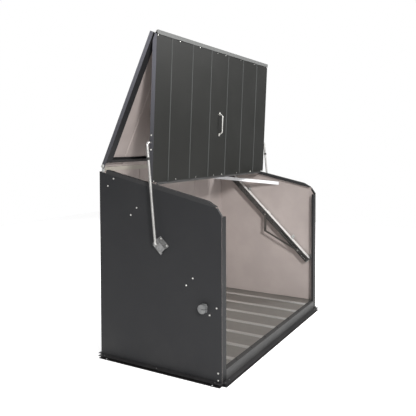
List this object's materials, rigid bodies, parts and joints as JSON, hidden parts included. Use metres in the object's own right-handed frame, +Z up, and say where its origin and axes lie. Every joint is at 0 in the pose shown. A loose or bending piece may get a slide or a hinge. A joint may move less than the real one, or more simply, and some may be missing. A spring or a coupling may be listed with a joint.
{
  "type": "deck storage box",
  "caption": "Sheet-steel storage box with a sloping roof and front door that fold up together on side arms.",
  "frame": {"origin": "on the ground, at the centre of the footprint", "axes": "+Z up, +X to the right seen from the front, front faces -Y"},
  "size_m": [2.025, 1.098, 2.3859],
  "materials": {
    "anthracite_paint": "fine satin powder coat",
    "beige_paint": "satin",
    "galvanised_steel": "galvanised",
    "zinc_fittings": "bright zinc plate",
    "dark_screws": "satin",
    "black_rubber": "matte",
    "grey_plastic": "moulded",
    "spring_steel": "oiled"
  },
  "bodies": {
    "cabinet": {"base_rail_right": "anthracite_paint", "base_rail_left": "anthracite_paint", "base_rail_rear": "anthracite_paint", "base_rail_front": "anthracite_paint", "front_sill": "galvanised_steel", "floor_pans": "galvanised_steel", "floor_seam_caps": "galvanised_steel", "floor_bearers": "galvanised_steel", "side_panel_right": "anthracite_paint", "side_panel_left": "anthracite_paint", "rear_panel": "anthracite_paint", "rear_top_rail": "beige_paint", "rear_hinge_tabs": "galvanised_steel", "side_top_rails": "anthracite_paint", "corner_brackets": "anthracite_paint", "roof_pivot_brackets": "galvanised_steel", "roof_pivot_bolts": "zinc_fittings", "spring_tubes": "galvanised_steel", "brace_tubes": "galvanised_steel", "tube_end_plugs": "black_rubber", "shaft_blocks": "galvanised_steel", "assist_springs": "spring_steel", "tube_saddles": "galvanised_steel", "brace_bars": "galvanised_steel", "arm_brackets": "galvanised_steel", "arm_bushes": "grey_plastic", "arm_catches": "grey_plastic", "panel_screws": "zinc_fittings", "base_screws": "zinc_fittings", "sill_screws": "dark_screws"},
    "roof": {"roof_skin": "anthracite_paint", "roof_front_channel": "galvanised_steel", "roof_rear_channel": "galvanised_steel", "roof_hinge_leaf": "galvanised_steel", "roof_hinge_pin": "zinc_fittings"},
    "door": {"door_skin": "anthracite_paint", "door_top_channel": "galvanised_steel", "door_bottom_channel": "galvanised_steel", "door_seal": "black_rubber", "door_stiffeners": "galvanised_steel", "door_hinge_band": "galvanised_steel", "door_rivets": "zinc_fittings", "pull_handle": "zinc_fittings", "handle_screws": "zinc_fittings", "pivot_plates": "galvanised_steel", "plate_screws": "zinc_fittings"},
    "arm_left": {"arm_tube_left": "zinc_fittings", "arm_collar_left": "black_rubber", "arm_nut_left": "zinc_fittings", "crank_arm_left": "zinc_fittings"},
    "link_left": {"spring_link_left": "zinc_fittings"},
    "carriage_left": {"spring_carriage_left": "zinc_fittings"},
    "arm_right": {"arm_tube_right": "zinc_fittings", "arm_collar_right": "black_rubber", "arm_nut_right": "zinc_fittings", "crank_arm_right": "zinc_fittings"},
    "link_right": {"spring_link_right": "zinc_fittings"},
    "carriage_right": {"spring_carriage_right": "zinc_fittings"}
  },
  "joints": [
    {"name": "roof_hinge", "type": "hinge", "parent": "cabinet", "child": "roof", "pos_m": [0, 0.484, 1.43503], "axis": [1, 0, 0], "range_deg": [0, 76.97]},
    {"name": "arm_left_pivot", "type": "hinge", "parent": "cabinet", "child": "arm_left", "pos_m": [0, -0.02375, 0.89794], "axis": [1, 0, 0], "range_deg": [0, 140.25]},
    {"name": "carriage_left_slide", "type": "slide", "parent": "cabinet", "child": "carriage_left", "axis": [0, 0.7191, 0.6949], "range_m": [0, 0.25308]},
    {"name": "link_left_pivot", "type": "hinge", "parent": "carriage_left", "child": "link_left", "pos_m": [0, -0.36413, 0.56901], "axis": [1, 0, 0], "range_deg": [0, 20.21]},
    {"name": "arm_right_pivot", "type": "hinge", "parent": "cabinet", "child": "arm_right", "pos_m": [0, -0.02375, 0.89794], "axis": [1, 0, 0], "range_deg": [0, 140.25]},
    {"name": "carriage_right_slide", "type": "slide", "parent": "cabinet", "child": "carriage_right", "axis": [0, 0.7191, 0.6949], "range_m": [0, 0.25308]},
    {"name": "link_right_pivot", "type": "hinge", "parent": "carriage_right", "child": "link_right", "pos_m": [0, -0.36413, 0.56901], "axis": [1, 0, 0], "range_deg": [0, 20.21]},
    {"name": "door_pivot", "type": "hinge", "parent": "arm_left", "child": "door", "pos_m": [0, 0.04285, 1.60723], "axis": [1, 0, 0], "range_deg": [-142.91, 0]}
  ],
  "couplings": [
    {"joint": "arm_left_pivot", "follows": "roof_hinge", "ratio": 1.8204},
    {"joint": "carriage_left_slide", "follows": "roof_hinge", "m_per_rad": 0.1882},
    {"joint": "link_left_pivot", "follows": "roof_hinge", "ratio": 0.26226},
    {"joint": "arm_right_pivot", "follows": "roof_hinge", "ratio": 1.8204},
    {"joint": "carriage_right_slide", "follows": "roof_hinge", "m_per_rad": 0.1882},
    {"joint": "link_right_pivot", "follows": "roof_hinge", "ratio": 0.26226},
    {"joint": "door_pivot", "follows": "roof_hinge", "ratio": -1.8548}
  ]
}
